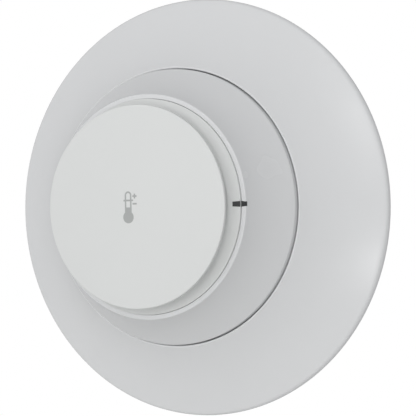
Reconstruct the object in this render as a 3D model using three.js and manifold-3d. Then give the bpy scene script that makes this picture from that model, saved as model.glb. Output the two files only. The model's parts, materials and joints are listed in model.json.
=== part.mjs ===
// Round flush-mounted room thermostat: a flared cover frame, a flared centre plate and a turning
// setting knob, in front of a steel support ring and an insert that sits in a wall box.
//
// Sizes are in millimetres. Every piece is made with z pointing out of the wall, y up and x to the
// right, with the wall's surface at z = 0. The last group turns the whole, so that in the part's
// own frame +Z is up, the wall is the plane Y = 0 and the front faces -Y.

import * as THREE from "three";
import { mergeVertices } from "three/addons/utils/BufferGeometryUtils.js";
import Module from "manifold-3d";

const wasm = await Module();
wasm.setup();

// ---------------------------------------------------------------------------- driving dimensions

// Cover frame: the wide flared ring that lies against the wall.
const FRAME_DIAMETER = 86;
const FRAME_OPENING = 55.9; // diameter of the hole that the centre plate fills
const FRAME_EDGE_HEIGHT = 10.7; // height of the frame's surface at that hole
const FRAME_RIM_SLOPE = 25; // degrees from the wall, at the outer rim
const FRAME_EDGE_SLOPE = 43; // degrees from the wall, at the hole
const RIM_ROUND = 1.1; // radius of the rim's rounded edge
const RIM_LAND = 0.6; // height of the rim below its rounded edge
const RIM_BACK_ROUND = 0.5; // radius of the rim's edge at the wall
const MOULDING_WALL = 1.6; // wall of the frame and the centre plate
const SHELF_DEPTH = 2.9; // from the frame's edge down to the shelf that the centre plate rests on
const RIB_COUNT = 12;
const RIB_THICKNESS = 1.2;

// Centre plate: the flared neck around the knob.
const PLATE_STEP = 0.5; // how far the plate's edge stands proud of the frame
const PLATE_EDGE_SLOPE = 51;
const NECK_SLOPE = 73;
const NECK_RISE = 9.6; // from the plate's edge up to the lip
const NECK_DIAMETER = 44;
const LIP_WIDTH = 0.9;
const LIP_ROUND = 0.15;
const WELL_DEPTH = 5.7; // from the lip down to the floor behind the knob
const WELL_HOLE_DIAMETER = 17;

// Setting knob: a face cap on a coved skirt.
const KNOB_STEP = 0.4; // how far the skirt's edge stands proud of the lip
const KNOB_RISE = 4.2; // how far the face stands proud of the lip
const CAP_DIAMETER = 39.5;
const CAP_THICKNESS = 1.1;
const CAP_ROUND = 0.25;
const CAP_OVERHANG = 2; // how far the face reaches past the knob's waist
const SKIRT_DEPTH = 4.9; // from the skirt's edge to its lower end
const SKIRT_WALL = 1.3;
const HUB_DIAMETER = 11;

// Marks that show the setting: one on the knob, one on the lip.
const MARK_WIDTH = 1.1;
const MARK_DEPTH = 0.4;
const MARK_PROUD = 0.05;
const MARK_REACH = 1.1; // along the knob's skirt
const MARK_DROP = 0.6; // over the lip's outer edge

// Potentiometer behind the knob.
const SHAFT_DIAMETER = 6;
const SHAFT_FLAT = 1.5; // depth of the flat along the shaft's end
const POT_SIZE = 11.5;
const POT_CASE_HEIGHT = 3.2;
const POT_COVER_THICKNESS = 1;
const BUSHING_DIAMETER = 9;
const WIPER_DIAMETER = 8.4;
const WIPER_THICKNESS = 1.1;

// Insert: the drum in front, the base in the wall box and the steel ring between them.
const RING_DIAMETER = 71;
const RING_HOLE = 42;
const RING_THICKNESS = 1;
const BOX_SCREW_SPACING = 60; // standard wall box
const BOX_SCREW_SLOT = 3.8; // width of the slots for its screws
const BOX_SLOT_SWEEP = 18; // degrees that each slot follows round the ring
const HOUSING_WALL = 1.5;
const FLANGE_THICKNESS = 1.5;
const BASE_CORNER = 9;
const BASE_DEPTH = 27;

// Circuit boards.
const BOARD_THICKNESS = 1.6;
const CONTROL_BOARD_Z = 4; // rear face of the control board
const POWER_BOARD_Z = -17.4; // rear face of the power board

// Fasteners and terminals.
const COVER_SCREW_SPACING = 27;
const COVER_SCREW_LENGTH = 5.4;
const HOUSING_SCREW_INSET = 4.8; // from the sides of the base
const HOUSING_SCREW_LENGTH = 9;
const SCREW_DIAMETER = 2.2;
const SCREW_HEAD_DIAMETER = 4;
const SCREW_HEAD_HEIGHT = 1.5;
const SLOT_WIDTH = 0.7;
const TERMINAL_COUNT = 4;
const TERMINAL_PITCH = 7.5;
const WIRE_HOLE_DIAMETER = 3;
const WIRE_STOP = 0.8; // wall of the clamp behind the wire
const CLAMP_WIDTH = 5.2;
const CLAMP_HEIGHT = 6.2;

// Components on the power board: size across, up and out from the board, and the place of the middle.
const RELAY = { width: 19, depth: 15, height: 14.5, x: 5.5, y: -4 };
const FILM_CAPACITOR = { width: 6, depth: 13, height: 11.5, x: -9.5, y: -5 };
const ELECTROLYTIC = { radius: 4, height: 11, groove: 0.4, x: -14.5, y: 7 };
const VARISTOR = { radius: 5, thickness: 3.6, leg: 3, lift: 1.5, x: -16, y: -3 };
const FUSE = { radius: 2.5, length: 20, cap: 5, lift: 1.2, x: 0, y: 9 };
const FUSE_CLIP = { width: 3.6, wall: 0.9, foot: 2.4, inset: 2.5 };
const LINK_HEADER = { pitch: 2.54, count: 5, pin: 0.64, bar: 2.5, y: 15 };
const LEG_RADIUS = 0.4;
const CASE_CORNER = 0.8;

// Components on the control board.
const THERMISTOR = { bead: 1.3, leg: 3.6, spread: 0.7, y: -15 };
const MICROCONTROLLER = { width: 7, height: 1.1, corner: 0.4, x: -6, y: 2 };

// Openings for the room's air, below the knob.
const VENT = { count: 3, width: 1.8, length: 4.4, corner: 0.8, pitch: 3.6, y: -15 };

// Pillars that carry the power board.
const STANDOFF = { radius: 1.6, x: 16.5, top: 12.7, bottom: -8 };

// Clearances.
const PLATE_GAP = 0.25; // centre plate in the frame
const KNOB_GAP = 0.15; // knob in the centre plate's lip
const SEAT_GAP = 0.3; // faces that rest on each other
const SHAFT_CLEARANCE = 0.1; // radial, around the turning shaft
const INLAY_GAP = 0.06; // around the marks

// Roundness.
const LARGE_SEGMENTS = 48;
const SMALL_SEGMENTS = 16;
const CURVE_STEPS = 8;

// -------------------------------------------------------------------------------------- finishes

function finish(color, roughness, metalness = 0) {
  return new THREE.MeshStandardMaterial({ color, roughness, metalness });
}

const finishes = {
  shell: finish(0xe9eaeb, 0.32),
  knob: finish(0xeef0ee, 0.4),
  mark: finish(0x2e2e30, 0.55),
  steel: finish(0xb4b7ba, 0.38, 0.9),
  insert: finish(0xd9dad6, 0.55),
  base: finish(0x3a3c40, 0.6),
  board: finish(0x1f5a3a, 0.5),
  brass: finish(0xc8a457, 0.35, 0.9),
  relay: finish(0x2b62a8, 0.45),
  component: finish(0x26272a, 0.5),
  film: finish(0xe0c23c, 0.5),
  varistor: finish(0x3f6fb5, 0.45),
  glass: finish(0xcfd6d8, 0.15),
};

// --------------------------------------------------------------------------------- derived sizes

const frameRadius = FRAME_DIAMETER / 2;
const openingRadius = FRAME_OPENING / 2;
const shelfTop = FRAME_EDGE_HEIGHT - SHELF_DEPTH;
const shelfBottom = shelfTop - MOULDING_WALL;

const plateRadius = openingRadius - PLATE_GAP;
const plateEdgeHeight = FRAME_EDGE_HEIGHT + PLATE_STEP;
const plateWallInside = plateRadius - MOULDING_WALL;
const shelfInside = plateWallInside - MOULDING_WALL / 2;
const lipHeight = plateEdgeHeight + NECK_RISE;
const neckRadius = NECK_DIAMETER / 2;
const wellRadius = neckRadius - LIP_WIDTH;
const wellFloorTop = lipHeight - WELL_DEPTH;
const wellFloorBottom = wellFloorTop - MOULDING_WALL;
const wellHoleRadius = WELL_HOLE_DIAMETER / 2;

const skirtRadius = wellRadius - KNOB_GAP;
const skirtEdge = lipHeight + KNOB_STEP;
const skirtBottom = skirtEdge - SKIRT_DEPTH;
const knobTop = lipHeight + KNOB_RISE;
const capRadius = CAP_DIAMETER / 2;
const capUnderside = knobTop - CAP_THICKNESS;
const waistRadius = capRadius - CAP_OVERHANG;
const waistInside = waistRadius - SKIRT_WALL;
const waistTop = capUnderside - SEAT_GAP;
const hubRadius = HUB_DIAMETER / 2;
const webBottom = skirtEdge - 2 * SKIRT_WALL;
const webTop = webBottom + SKIRT_WALL;

const flangeBottom = RING_THICKNESS + SEAT_GAP;
const flangeTop = flangeBottom + FLANGE_THICKNESS;
const drumTop = wellFloorBottom - SEAT_GAP;
const drumRoof = drumTop - HOUSING_WALL;

const baseHalf = TERMINAL_COUNT * TERMINAL_PITCH * 0.75;
const baseInside = baseHalf - HOUSING_WALL;
const flangeReach = BASE_CORNER + Math.SQRT2 * (baseHalf - BASE_CORNER);
const baseTop = -SEAT_GAP;
const baseFloor = HOUSING_WALL - BASE_DEPTH;

const controlTop = CONTROL_BOARD_Z + BOARD_THICKNESS;
const powerTop = POWER_BOARD_Z + BOARD_THICKNESS;
const powerParts = powerTop + SEAT_GAP;

const shaftRadius = SHAFT_DIAMETER / 2;
const shaftBore = shaftRadius + SHAFT_CLEARANCE;
const bushingRadius = Math.max(BUSHING_DIAMETER / 2, shaftBore + 1);
const potBottom = controlTop + SEAT_GAP;
const potCaseTop = potBottom + POT_CASE_HEIGHT;
const potCoverBottom = potCaseTop + SEAT_GAP;
const potCoverTop = potCoverBottom + POT_COVER_THICKNESS;
const bushingTop = drumTop + SEAT_GAP;
const hubBottom = bushingTop + SEAT_GAP;
const shaftTop = webTop;
const hubTop = shaftTop + SEAT_GAP + SKIRT_WALL / 2;
const wiperBottom = potBottom + 1 + SEAT_GAP;

const screwRadius = SCREW_DIAMETER / 2;
const headRadius = SCREW_HEAD_DIAMETER / 2;
const screwBore = screwRadius + SHAFT_CLEARANCE;
const bossRadius = screwBore + HOUSING_WALL - SEAT_GAP;
const coverScrewX = COVER_SCREW_SPACING / 2;
const coverScrewSeat = wellFloorTop + SEAT_GAP;
const housingScrewAt = baseHalf - HOUSING_SCREW_INSET;
const housingScrewSeat = flangeTop + SEAT_GAP;
const screwCircle = Math.hypot(housingScrewAt, housingScrewAt);

const clampTop = POWER_BOARD_Z - SEAT_GAP;
const clampBottom = clampTop - CLAMP_HEIGHT;
const clampY = SEAT_GAP - baseInside + CLAMP_WIDTH / 2;
const wireHoleRadius = WIRE_HOLE_DIAMETER / 2;
const wireHoleZ = clampTop - wireHoleRadius - SEAT_GAP * 2;
const terminalScrewTip = wireHoleZ - wireHoleRadius;
const terminalScrewSeat = clampBottom - SEAT_GAP;

// ----------------------------------------------------------------------------- profile functions

const radians = THREE.MathUtils.degToRad;

// A curve in the plane of radius and height, with its slope given at both ends.
function slopedCurve([r0, z0], slope0, [r1, z1], slope1, steps = CURVE_STEPS) {
  const reach = Math.hypot(r1 - r0, z1 - z0) / 3;
  const inward = Math.sign(r1 - r0) || 1;
  const curve = new THREE.CubicBezierCurve(
    new THREE.Vector2(r0, z0),
    new THREE.Vector2(
      r0 + inward * reach * Math.cos(radians(slope0)),
      z0 + reach * Math.sin(radians(slope0)),
    ),
    new THREE.Vector2(
      r1 - inward * reach * Math.cos(radians(slope1)),
      z1 - reach * Math.sin(radians(slope1)),
    ),
    new THREE.Vector2(r1, z1),
  );
  return curve.getPoints(steps).map((p) => [p.x, p.y]);
}

function arc(centreR, centreZ, radius, from, to, steps = 3) {
  const points = [];
  for (let i = 0; i <= steps; i++) {
    const angle = radians(from + ((to - from) * i) / steps);
    points.push([
      centreR + radius * Math.cos(angle),
      centreZ + radius * Math.sin(angle),
    ]);
  }
  return points;
}

// The same curve moved sideways: a curve that rises inward moves into the material behind it.
function offsetCurve(points, distance) {
  return points.map(([r, z], i) => {
    const [rBefore, zBefore] = points[Math.max(i - 1, 0)];
    const [rAfter, zAfter] = points[Math.min(i + 1, points.length - 1)];
    const length = Math.hypot(rAfter - rBefore, zAfter - zBefore);
    return [
      r - (distance * (zAfter - zBefore)) / length,
      z + (distance * (rAfter - rBefore)) / length,
    ];
  });
}

// Radius of a rising curve at a height.
function radiusAt(points, height) {
  for (let i = 1; i < points.length; i++) {
    const [r0, z0] = points[i - 1];
    const [r1, z1] = points[i];
    if ((z0 - height) * (z1 - height) <= 0 && z0 !== z1) {
      return r0 + ((r1 - r0) * (height - z0)) / (z1 - z0);
    }
  }
  throw new Error("the curve does not reach height " + height);
}

// Height of the curve at a radius.
function heightAt(points, radius) {
  return radiusAt(
    points.map(([r, z]) => [z, r]),
    radius,
  );
}


// ------------------------------------------------------------------------------- solid functions

// A solid of revolution about z from a closed outline of [radius, height] points.
function turned(outline, segments = LARGE_SEGMENTS) {
  const points = outline.map(([r, z]) => new THREE.Vector2(r, z));
  if (THREE.ShapeUtils.area(points) < 0) points.reverse();
  const onAxis = points.findIndex(
    (p, i) =>
      p.x === 0 && points[(i + points.length - 1) % points.length].x === 0,
  );
  const ordered =
    onAxis < 0
      ? [...points, points[0].clone()]
      : [...points.slice(onAxis), ...points.slice(0, onAxis)];
  return new THREE.LatheGeometry(ordered, segments).rotateX(Math.PI / 2);
}

function prism(shape, bottom, top, curveSegments = SMALL_SEGMENTS) {
  return new THREE.ExtrudeGeometry(shape, {
    depth: top - bottom,
    bevelEnabled: false,
    curveSegments,
  }).translate(0, 0, bottom);
}

function rod(radius, bottom, top, x = 0, y = 0, segments = SMALL_SEGMENTS) {
  return new THREE.CylinderGeometry(radius, radius, top - bottom, segments)
    .rotateX(Math.PI / 2)
    .translate(x, y, (bottom + top) / 2);
}

// A rod that lies along y.
function crossRod(radius, length, segments = SMALL_SEGMENTS) {
  return new THREE.CylinderGeometry(radius, radius, length, segments);
}

function block(width, height, bottom, top, x = 0, y = 0) {
  return new THREE.BoxGeometry(width, height, top - bottom).translate(
    x,
    y,
    (bottom + top) / 2,
  );
}

function roundedBlock(width, height, corner, bottom, top, x = 0, y = 0) {
  const [w, h] = [width / 2 - corner, height / 2 - corner];
  const shape = new THREE.Shape();
  shape.absarc(w, h, corner, 0, Math.PI / 2);
  shape.absarc(-w, h, corner, Math.PI / 2, Math.PI);
  shape.absarc(-w, -h, corner, Math.PI, Math.PI * 1.5);
  shape.absarc(w, -h, corner, Math.PI * 1.5, Math.PI * 2);
  return prism(shape, bottom, top, 4).translate(x, y, 0);
}

// A disc outline with a flat on its lower side.
function flattedDisc(radius, flat) {
  const half = Math.asin(flat / radius);
  const shape = new THREE.Shape();
  shape.absarc(0, 0, radius, -half, Math.PI + half);
  shape.closePath();
  return shape;
}

function toSolid(geometry) {
  const bare = geometry.clone();
  bare.deleteAttribute("normal");
  bare.deleteAttribute("uv");
  const merged = mergeVertices(bare, 1e-4);
  return new wasm.Manifold(
    new wasm.Mesh({
      numProp: 3,
      vertProperties: merged.attributes.position.array,
      triVerts: new Uint32Array(merged.index.array),
    }),
  );
}

function toGeometry(solid) {
  const made = solid.getMesh();
  const geometry = new THREE.BufferGeometry();
  geometry.setAttribute(
    "position",
    new THREE.BufferAttribute(made.vertProperties, 3),
  );
  geometry.setIndex(new THREE.BufferAttribute(made.triVerts, 1));
  geometry.computeVertexNormals();
  return geometry;
}

function join(geometry, ...others) {
  return toGeometry(
    others.reduce((whole, other) => whole.add(toSolid(other)), toSolid(geometry)),
  );
}

function cut(geometry, ...tools) {
  return toGeometry(
    tools.reduce(
      (rest, tool) => rest.subtract(toSolid(tool)),
      toSolid(geometry),
    ),
  );
}

function common(geometry, other) {
  return toGeometry(toSolid(geometry).intersect(toSolid(other)));
}

function piece(name, geometry, material) {
  const mesh = new THREE.Mesh(geometry, material);
  mesh.name = name;
  return mesh;
}

// ------------------------------------------------------------------------------ visible surfaces

const rimTurn = 90 - FRAME_RIM_SLOPE;
const rimBack = arc(frameRadius - RIM_BACK_ROUND, RIM_BACK_ROUND, RIM_BACK_ROUND, -90, 0, 2);
const rimEdge = arc(frameRadius - RIM_ROUND, RIM_LAND, RIM_ROUND, 0, rimTurn);
const frameSurface = slopedCurve(
  rimEdge.at(-1),
  FRAME_RIM_SLOPE,
  [openingRadius, FRAME_EDGE_HEIGHT],
  FRAME_EDGE_SLOPE,
);
const frameUnderside = offsetCurve(frameSurface, MOULDING_WALL);
const plateSurface = slopedCurve(
  [plateRadius, plateEdgeHeight],
  PLATE_EDGE_SLOPE,
  [neckRadius, lipHeight - LIP_ROUND],
  NECK_SLOPE,
);
const plateUnderside = offsetCurve(plateSurface, MOULDING_WALL);
const lipEdge = [
  [neckRadius - LIP_ROUND, lipHeight],
  [wellRadius, lipHeight],
];
// The knob's cove falls from the waist under the cap and runs out to the skirt's edge.
const coveSurface = slopedCurve(
  [waistRadius, waistTop],
  -86,
  [skirtRadius, skirtEdge],
  -6,
);

// The drum stays inside the plate, the frame's shelf and the ring of screw heads.
const drumRadius =
  Math.min(radiusAt(plateUnderside, drumTop), shelfInside, screwCircle - headRadius) - SEAT_GAP;
const drumInside = drumRadius - HOUSING_WALL;
const boardRadius = drumInside - SEAT_GAP;

// ---------------------------------------------------------------------------------- front covers

function coverFrame() {
  const wallInside = openingRadius + MOULDING_WALL;
  const underside = [...frameUnderside].reverse();
  const shell = turned([
    ...rimBack,
    ...rimEdge,
    ...frameSurface.slice(1),
    [openingRadius, shelfTop],
    [shelfInside, shelfTop],
    [shelfInside, shelfBottom],
    [wallInside, shelfBottom],
    [wallInside, heightAt(underside, wallInside)],
    ...underside.filter(([r, z]) => r > wallInside && z > RIM_LAND),
    [frameUnderside[0][0], 0],
  ]);
  const ribFoot = RING_THICKNESS + FLANGE_THICKNESS;
  const ribTop = offsetCurve(frameSurface, MOULDING_WALL / 2);
  const ribInside = Math.max(wallInside - MOULDING_WALL / 2, flangeReach + SEAT_GAP);
  const underSpace = turned([
    [ribInside, ribFoot],
    [radiusAt(ribTop, ribFoot), ribFoot],
    ...ribTop.filter(([r, z]) => r > ribInside && z > ribFoot),
    [ribInside, heightAt(ribTop, ribInside)],
  ]);
  const ribs = [];
  for (let i = 0; i < RIB_COUNT; i++) {
    const bar = block(
      frameRadius,
      RIB_THICKNESS,
      0,
      FRAME_EDGE_HEIGHT,
      frameRadius / 2,
    ).rotateZ(((i + 0.5) / RIB_COUNT) * Math.PI * 2);
    ribs.push(common(bar, underSpace));
  }
  return join(shell, ...ribs);
}

function vents(bottom, top) {
  const { count, width, length, corner, pitch, y } = VENT;
  return Array.from({ length: count }, (_, i) =>
    roundedBlock(width, length, corner, bottom, top, (i - (count - 1) / 2) * pitch, y),
  );
}

function centrePlate() {
  const shell = turned([
    [plateRadius, shelfTop + SEAT_GAP],
    ...plateSurface,
    ...lipEdge,
    [wellRadius, wellFloorTop],
    [wellHoleRadius, wellFloorTop],
    [wellHoleRadius, wellFloorBottom],
    [radiusAt(plateUnderside, wellFloorBottom), wellFloorBottom],
    ...plateUnderside
      .filter(([r, z]) => z < wellFloorBottom && r < plateWallInside)
      .reverse(),
    [plateWallInside, heightAt(plateUnderside, plateWallInside)],
    [plateWallInside, shelfTop + SEAT_GAP],
  ]);
  const through = [wellFloorBottom - 1, wellFloorTop + 1];
  const screwHoles = [-1, 1].map((side) =>
    rod(screwRadius + SEAT_GAP, ...through, side * coverScrewX),
  );
  return cut(shell, ...screwHoles, ...vents(...through), markBar(lipMarkPath(), INLAY_GAP));
}

// ----------------------------------------------------------------------------------------- marks

// Each mark follows a surface from its inner end to its outer end.
function lipMarkPath() {
  const start = lipHeight - MARK_DROP;
  return [
    [radiusAt(plateSurface, start), start],
    ...plateSurface.filter(([, z]) => z > start),
    ...lipEdge,
  ];
}

function knobMarkPath() {
  const start = skirtRadius - MARK_REACH;
  return [
    [start, heightAt(coveSurface, start)],
    ...coveSurface.filter(([r]) => r > start),
  ];
}

// A bar let into a surface along the path, in the plane y = 0. With a margin it is the pocket for
// that bar, open at the path's last point, where the surface ends.
function markBar(path, margin = 0) {
  const [startR, startZ] = path[0];
  const [endR, endZ] = path.at(-1);
  const inward = startR > endR ? 1 : -1;
  const [nextR, nextZ] = path[1];
  const share = margin / Math.hypot(startR - nextR, startZ - nextZ);
  const before = [startR + share * (startR - nextR), startZ + share * (startZ - nextZ)];
  const run = margin ? [before, ...path, [endR - inward, endZ]] : path;
  const lower = offsetCurve(run, inward * (MARK_DEPTH + margin));
  const upper = offsetCurve(run, -inward * (MARK_PROUD + margin * 9)).reverse();
  const outline = [...lower, ...upper].map(([r, z]) => new THREE.Vector2(r, z));
  const width = MARK_WIDTH + 2 * margin;
  return new THREE.ExtrudeGeometry(new THREE.Shape(outline), { depth: width, bevelEnabled: false })
    .rotateX(Math.PI / 2)
    .translate(0, width / 2, 0);
}

function indexMark() {
  return markBar(lipMarkPath());
}

function pointerMark() {
  return markBar(knobMarkPath());
}

// ------------------------------------------------------------------------------------------ knob

function knobCap() {
  const top = knobTop - CAP_ROUND;
  const spigotOutside = waistInside - SEAT_GAP;
  const spigotInside = spigotOutside - SKIRT_WALL;
  return turned([
    [0, capUnderside],
    [spigotInside, capUnderside],
    [spigotInside, webTop + SEAT_GAP],
    [spigotOutside, webTop + SEAT_GAP],
    [spigotOutside, capUnderside],
    [capRadius, capUnderside],
    ...arc(capRadius - CAP_ROUND, top, CAP_ROUND, 0, 90),
    [0, knobTop],
  ]);
}

function knobSkirt() {
  const skirtInside = skirtRadius - SKIRT_WALL;
  const shell = turned([
    [0, hubBottom],
    [hubRadius, hubBottom],
    [hubRadius, webBottom],
    [skirtInside, webBottom],
    [skirtInside, skirtBottom],
    [skirtRadius, skirtBottom],
    ...[...coveSurface].reverse(),
    [waistInside, waistTop],
    [waistInside, webTop],
    [hubRadius, webTop],
    [hubRadius, hubTop],
    [0, hubTop],
  ]);
  const section = flattedDisc(shaftBore, shaftRadius - SHAFT_FLAT);
  const bore = prism(section, hubBottom - 1, shaftTop + SEAT_GAP);
  return cut(shell, bore, markBar(knobMarkPath(), INLAY_GAP));
}

function potentiometerShaft() {
  const round = rod(shaftRadius, wiperBottom, hubBottom);
  const section = flattedDisc(shaftRadius, shaftRadius - SHAFT_FLAT - SHAFT_CLEARANCE);
  const flatted = prism(section, wiperBottom, shaftTop);
  const wiper = rod(WIPER_DIAMETER / 2, wiperBottom, wiperBottom + WIPER_THICKNESS);
  return join(round, flatted, wiper);
}

function potentiometerCase() {
  const wiperRoom = WIPER_DIAMETER / 2 + SEAT_GAP;
  return cut(
    roundedBlock(POT_SIZE, POT_SIZE, 1, potBottom, potCaseTop),
    rod(wiperRoom, potBottom + 1, potCaseTop + 1),
  );
}

function potentiometerCover() {
  return cut(
    join(
      roundedBlock(POT_SIZE, POT_SIZE, 1, potCoverBottom, potCoverTop),
      rod(bushingRadius, potCoverBottom, bushingTop),
    ),
    rod(shaftBore, potCoverBottom - 1, bushingTop + 1),
  );
}

// ---------------------------------------------------------------------------------------- insert

function supportRing() {
  const disc = rod(RING_DIAMETER / 2, 0, RING_THICKNESS, 0, 0, LARGE_SEGMENTS);
  const opening = rod(RING_HOLE / 2, -1, RING_THICKNESS + 1, 0, 0, LARGE_SEGMENTS);
  const holes = corners(housingScrewAt).map((at) => rod(screwBore, -1, RING_THICKNESS + 1, ...at));
  return cut(disc, opening, ...holes, ...boxScrewSlots());
}

// Curved slots for the wall box's screws, on both centre lines.
function boxScrewSlots() {
  const half = radians(BOX_SLOT_SWEEP / 2);
  const middle = BOX_SCREW_SPACING / 2;
  const end = BOX_SCREW_SLOT / 2;
  return [0, 1, 2, 3].map((quarter) => {
    const shape = new THREE.Shape();
    const tip = [middle * Math.cos(half), middle * Math.sin(half)];
    shape.absarc(0, 0, middle + end, -half, half);
    shape.absarc(tip[0], tip[1], end, half, half + Math.PI);
    shape.absarc(0, 0, middle - end, half, -half, true);
    shape.absarc(tip[0], -tip[1], end, Math.PI - half, 2 * Math.PI - half);
    return prism(shape, -1, RING_THICKNESS + 1, 6).rotateZ((quarter * Math.PI) / 2);
  });
}

function corners(distance) {
  return [
    [distance, distance],
    [-distance, distance],
    [-distance, -distance],
    [distance, -distance],
  ];
}

function housingFront() {
  const shell = turned([
    [drumInside, flangeBottom],
    [drumRadius, flangeBottom],
    [drumRadius, drumTop],
    [bushingRadius + SEAT_GAP, drumTop],
    [bushingRadius + SEAT_GAP, drumRoof],
    [drumInside, drumRoof],
  ]);
  const flange = cut(
    roundedBlock(2 * baseHalf, 2 * baseHalf, BASE_CORNER, flangeBottom, flangeTop),
    rod(drumInside, flangeBottom - 1, flangeTop + 1, 0, 0, LARGE_SEGMENTS),
  );
  const sides = [-coverScrewX, coverScrewX];
  const bosses = sides.map((x) => rod(bossRadius, controlTop + SEAT_GAP, drumTop, x));
  const bores = sides.map((x) => rod(screwBore, controlTop, drumTop + 1, x));
  const screwHoles = corners(housingScrewAt).map((at) => rod(screwBore, 0, flangeTop + 1, ...at));
  const slots = vents(drumRoof - 1, drumTop + 1);
  return cut(join(shell, flange, ...bosses), ...bores, ...screwHoles, ...slots);
}

function housingRear() {
  const full = 2 * baseHalf;
  const hollow = 2 * baseInside;
  const outside = roundedBlock(full, full, BASE_CORNER, -BASE_DEPTH, baseTop);
  const room = roundedBlock(hollow, hollow, BASE_CORNER - HOUSING_WALL, baseFloor, 1);
  const foot = baseFloor - HOUSING_WALL / 2;
  const bosses = corners(housingScrewAt).map((at) => rod(bossRadius, foot, baseTop, ...at));
  const bores = corners(housingScrewAt).map((at) => rod(screwBore, -HOUSING_SCREW_LENGTH - 1, 1, ...at));
  const standoffs = [-STANDOFF.x, STANDOFF.x].flatMap((x) =>
    [STANDOFF.bottom, STANDOFF.top].map((y) =>
      rod(STANDOFF.radius, foot, POWER_BOARD_Z - SEAT_GAP, x, y),
    ),
  );
  const driverHoles = terminals().map((x) =>
    rod(headRadius + SEAT_GAP, -BASE_DEPTH - 1, baseFloor + 1, x, clampY),
  );
  const wireHoles = terminals().map((x) =>
    crossRod(wireHoleRadius, HOUSING_WALL + 2).translate(x, -baseHalf + HOUSING_WALL / 2, wireHoleZ),
  );
  const shell = join(cut(outside, room), ...bosses, ...standoffs);
  return cut(shell, ...bores, ...driverHoles, ...wireHoles);
}

// ------------------------------------------------------------------------------------- fasteners

// A slotted screw along z with its head's lower face at the seat, facing out (1) or back (-1).
function screw(length, seat, x, y, facing = 1) {
  const head = SCREW_HEAD_HEIGHT;
  const tip = screwRadius * 0.8;
  const outline = [
    [0, -length],
    [tip, -length],
    [screwRadius, screwRadius - tip - length],
    [screwRadius, 0],
    [headRadius, 0],
    [headRadius, head * 0.7],
    [headRadius * 0.8, head],
    [0, head],
  ];
  const slot = block(SCREW_HEAD_DIAMETER, SLOT_WIDTH, head / 2, head + 1);
  return cut(turned(outline, SMALL_SEGMENTS), slot)
    .rotateX(facing < 0 ? Math.PI : 0)
    .translate(x, y, seat);
}

function terminals() {
  const middle = (TERMINAL_COUNT - 1) / 2;
  return Array.from({ length: TERMINAL_COUNT }, (_, i) => (i - middle) * TERMINAL_PITCH);
}

function terminalClamp(x) {
  const body = block(CLAMP_WIDTH, CLAMP_WIDTH, clampBottom, clampTop);
  const wireHole = crossRod(wireHoleRadius, CLAMP_WIDTH).translate(0, -WIRE_STOP, wireHoleZ);
  const screwHole = rod(screwBore, clampBottom - 1, wireHoleZ);
  return cut(body, wireHole, screwHole).translate(x, clampY, 0);
}

// ----------------------------------------------------------------------------------- electronics

function controlBoard() {
  return rod(boardRadius, CONTROL_BOARD_Z, controlTop, 0, 0, LARGE_SEGMENTS);
}

function powerBoard() {
  const half = baseInside - SEAT_GAP;
  const bossDistance = screwCircle - bossRadius;
  return common(
    block(2 * half, 2 * half, POWER_BOARD_Z, powerTop),
    rod(bossDistance - SEAT_GAP, POWER_BOARD_Z, powerTop, 0, 0, LARGE_SEGMENTS),
  );
}

// A row of square pins in a bar, from the control board down to the power board.
function linkHeader() {
  const { pitch, count, pin, bar: width, y } = LINK_HEADER;
  const top = CONTROL_BOARD_Z - SEAT_GAP;
  const bar = block(count * pitch, width, top - width, top);
  const pins = Array.from({ length: count }, (_, i) =>
    block(pin, pin, powerParts, top - width / 2, (i - (count - 1) / 2) * pitch),
  );
  return join(bar, ...pins).translate(0, y, 0);
}

function thermistor() {
  const { bead: radius, leg, spread, y } = THERMISTOR;
  const bead = new THREE.SphereGeometry(radius, 16, 10).rotateX(Math.PI / 2).translate(0, 0, leg);
  const legs = [-spread, spread].map((x) => rod(LEG_RADIUS * 0.6, 0, leg, x, 0, 8));
  return join(bead, ...legs).translate(0, y, controlTop + SEAT_GAP);
}

function microcontroller() {
  const { width, height, corner, x, y } = MICROCONTROLLER;
  const top = CONTROL_BOARD_Z - SEAT_GAP;
  return roundedBlock(width, width, corner, top - height, top, x, y);
}

function boxedComponent({ width, depth, height, x, y }) {
  return roundedBlock(width, depth, CASE_CORNER, powerParts, powerParts + height, x, y);
}

function electrolyticCapacitor() {
  const { radius, height, groove, x, y } = ELECTROLYTIC;
  const top = powerParts + height;
  const grooveAt = powerParts + 4 * groove;
  const can = [
    [0, powerParts],
    [radius, powerParts],
    [radius, grooveAt - groove],
    [radius - groove, grooveAt],
    [radius, grooveAt + groove],
    [radius, top - groove],
    [radius - groove, top],
    [0, top],
  ];
  return turned(can, SMALL_SEGMENTS).translate(x, y, 0);
}

function varistor() {
  const { radius, thickness, leg, lift, x, y } = VARISTOR;
  const disc = crossRod(radius, thickness).translate(0, 0, powerParts + radius + lift);
  const legs = [-radius / 2, radius / 2].map((at) =>
    rod(LEG_RADIUS, powerParts, powerParts + leg, at, 0, 8),
  );
  return join(disc, ...legs).rotateZ(Math.PI / 2).translate(x, y, 0);
}

const fuseAxis = powerParts + FUSE.radius + FUSE.lift;

// The glass tube lies along x and its two end caps are a little wider.
function fuseTube() {
  const { radius, length, cap, x, y } = FUSE;
  const half = length / 2;
  const glass = radius * 0.9;
  const outline = [
    [0, -half],
    [radius, -half],
    [radius, cap - half],
    [glass, cap - half],
    [glass, half - cap],
    [radius, half - cap],
    [radius, half],
    [0, half],
  ];
  return turned(outline, SMALL_SEGMENTS).rotateY(Math.PI / 2).translate(x, y, fuseAxis);
}

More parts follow.
